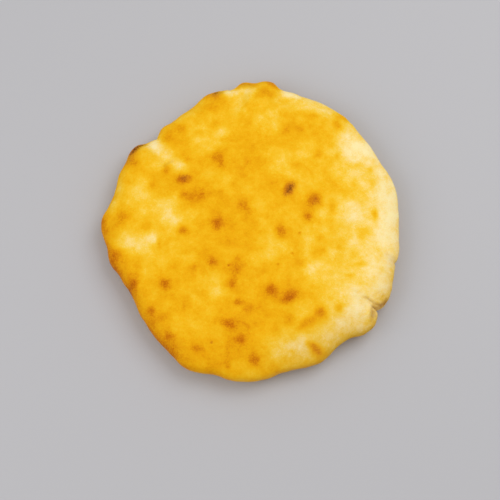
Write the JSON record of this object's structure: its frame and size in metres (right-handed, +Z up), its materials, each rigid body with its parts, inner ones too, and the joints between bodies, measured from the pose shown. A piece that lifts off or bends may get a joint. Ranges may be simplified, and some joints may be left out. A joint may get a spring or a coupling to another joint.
{
  "type": "lepinja flatbread",
  "caption": "Round puffed flatbread with a lobed, softly rounded rim, one pinched fold at its edge and a golden crust spotted with brown blisters, lying on its flat base.",
  "frame": {"origin": "middle of the flat base, under the centre of the bread's outline", "axes": "+Z up from the base to the browned face, +X to the bread's right and +Y to its far side as the picture shows it; the pinched fold is on the near right rim"},
  "size_m": [0.2018, 0.2142, 0.031],
  "materials": {
    "crust": "baked golden crust, satin, with pale floury patches at the rim and brown char spots"
  },
  "bodies": {
    "root": {"lepinja": "crust"}
  },
  "joints": []
}
